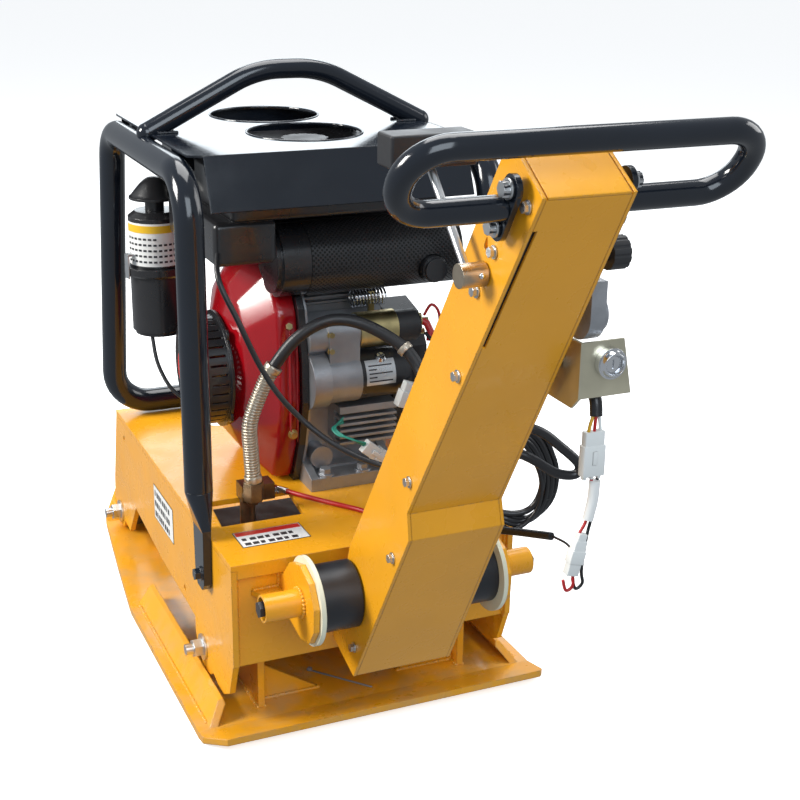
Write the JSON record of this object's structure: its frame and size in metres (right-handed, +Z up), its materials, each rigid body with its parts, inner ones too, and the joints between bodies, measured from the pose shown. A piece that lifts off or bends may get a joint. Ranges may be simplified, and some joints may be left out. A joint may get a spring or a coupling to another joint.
{
  "type": "reversible plate compactor",
  "caption": "Walk-behind soil compactor: yellow sole plate and deck, diesel engine in a black tube cage, folding sheet-steel handle.",
  "frame": {"origin": "middle of the sole plate, on the ground", "axes": "+X is the operator's right, +Y is forward travel, +Z is up"},
  "size_m": [0.5, 1.2283, 0.8799],
  "materials": {
    "yellow_paint": "gloss enamel",
    "black_paint": "gloss powder coat",
    "red_paint": "gloss enamel",
    "black_engine": "satin",
    "cast_grey": "as cast",
    "cast_iron": "painted dark",
    "steel": "machined",
    "zinc": "bright zinc plate",
    "zinc_yellow": "yellow passivated zinc",
    "chrome": "polished",
    "rubber": "matt",
    "nylon": "ivory nylon",
    "black_plastic": "moulded",
    "red_cable": "cable sheath"
  },
  "bodies": {
    "machine": {"sole_plate": "yellow_paint", "mount_posts": "yellow_paint", "rubber_mounts": "rubber", "mount_studs": "zinc", "exciter_housing": "cast_iron", "deck_top": "yellow_paint", "deck_cheeks": "yellow_paint", "rear_panel": "yellow_paint", "handle_ears": "yellow_paint", "pivot_bolts": "cast_iron", "nylon_discs": "nylon", "roll_frame": "black_paint", "frame_feet": "black_paint", "lifting_bow": "black_paint", "canopy": "black_paint", "fuel_tank": "black_engine", "crankcase": "cast_grey", "cylinder_head": "cast_grey", "blower_housing": "red_paint", "shroud_plate": "black_engine", "recoil_starter": "black_engine", "drive_belt": "rubber", "belt_guard": "black_engine", "starter_nose": "cast_grey", "starter_motor": "black_engine", "starter_solenoid": "zinc_yellow", "regulator": "cast_grey", "muffler_body": "black_engine", "muffler_shield": "black_engine", "air_cleaner_bowl": "black_engine", "air_cleaner_body": "black_engine", "air_cleaner_cap": "black_engine", "intake_elbow": "black_engine", "hose_fitting": "zinc_yellow", "hydraulic_hose": "rubber", "ground_cable": "red_cable", "throttle_cable": "black_plastic"},
    "crank": {"crank_pulley": "steel"},
    "exciter_a": {"eccentric_shaft_a": "steel"},
    "exciter_b": {"eccentric_shaft_b": "steel"},
    "shifter": {"shift_piston": "steel"},
    "cap": {"fuel_cap": "black_plastic"},
    "governor": {"governor_lever": "zinc_yellow"},
    "handle": {"side_plate_left": "yellow_paint", "side_plate_right": "yellow_paint", "rear_cover": "yellow_paint", "head_block": "yellow_paint", "handle_loop": "black_paint", "loop_flanges": "black_paint", "box_bolts": "zinc", "pivot_bushes": "rubber", "key_bracket": "zinc_yellow", "key_switch": "chrome", "hand_pump": "cast_grey", "harness": "black_plastic"},
    "direction_lever": {"lever_hub": "steel", "lever_rod": "zinc", "lever_grip": "rubber"},
    "key": {"key_barrel": "chrome"},
    "throttle": {"throttle_knob": "black_plastic"}
  },
  "joints": [
    {"name": "crank_spin", "type": "hinge", "parent": "machine", "child": "crank", "pos_m": [0, -0.012, 0.415], "axis": [1, 0, 0], "continuous": true},
    {"name": "exciter_a_spin", "type": "hinge", "parent": "machine", "child": "exciter_a", "pos_m": [0, -0.05, 0.09], "axis": [1, 0, 0], "continuous": true},
    {"name": "exciter_b_spin", "type": "hinge", "parent": "machine", "child": "exciter_b", "pos_m": [0, 0.05, 0.09], "axis": [1, 0, 0], "continuous": true},
    {"name": "handle_swing", "type": "hinge", "parent": "machine", "child": "handle", "pos_m": [0, -0.413, 0.228], "axis": [1, 0, 0], "range_deg": [-30, 3], "deforming": ["hydraulic_hose", "ground_cable", "throttle_cable"]},
    {"name": "direction_shift", "type": "hinge", "parent": "handle", "child": "direction_lever", "pos_m": [-0.07, -0.726, 0.722], "axis": [1, 0, 0], "range_deg": [-22, 22]},
    {"name": "shift_travel", "type": "slide", "parent": "machine", "child": "shifter", "axis": [1, 0, 0], "range_m": [-0.008, 0.008]},
    {"name": "key_turn", "type": "hinge", "parent": "handle", "child": "key", "pos_m": [0.099, -0.7, 0.612], "axis": [0, -1, 0], "range_deg": [0, 60]},
    {"name": "throttle_turn", "type": "hinge", "parent": "handle", "child": "throttle", "pos_m": [0.09, -0.74, 0.735], "axis": [1, 0, 0], "range_deg": [0, 90]},
    {"name": "governor_turn", "type": "hinge", "parent": "machine", "child": "governor", "pos_m": [0.09, -0.094, 0.484], "axis": [0, -1, 0], "range_deg": [0, 22.5]},
    {"name": "cap_turn", "type": "hinge", "parent": "machine", "child": "cap", "pos_m": [0.004, -0.057, 0.74], "axis": [0, 0, 1], "range_deg": [0, 90]}
  ],
  "couplings": [
    {"joint": "exciter_a_spin", "follows": "crank_spin", "ratio": 1.1628},
    {"joint": "exciter_b_spin", "follows": "crank_spin", "ratio": -1.1628},
    {"joint": "shift_travel", "follows": "direction_shift", "m_per_rad": 0.0208},
    {"joint": "governor_turn", "follows": "throttle_turn", "ratio": 0.25}
  ]
}
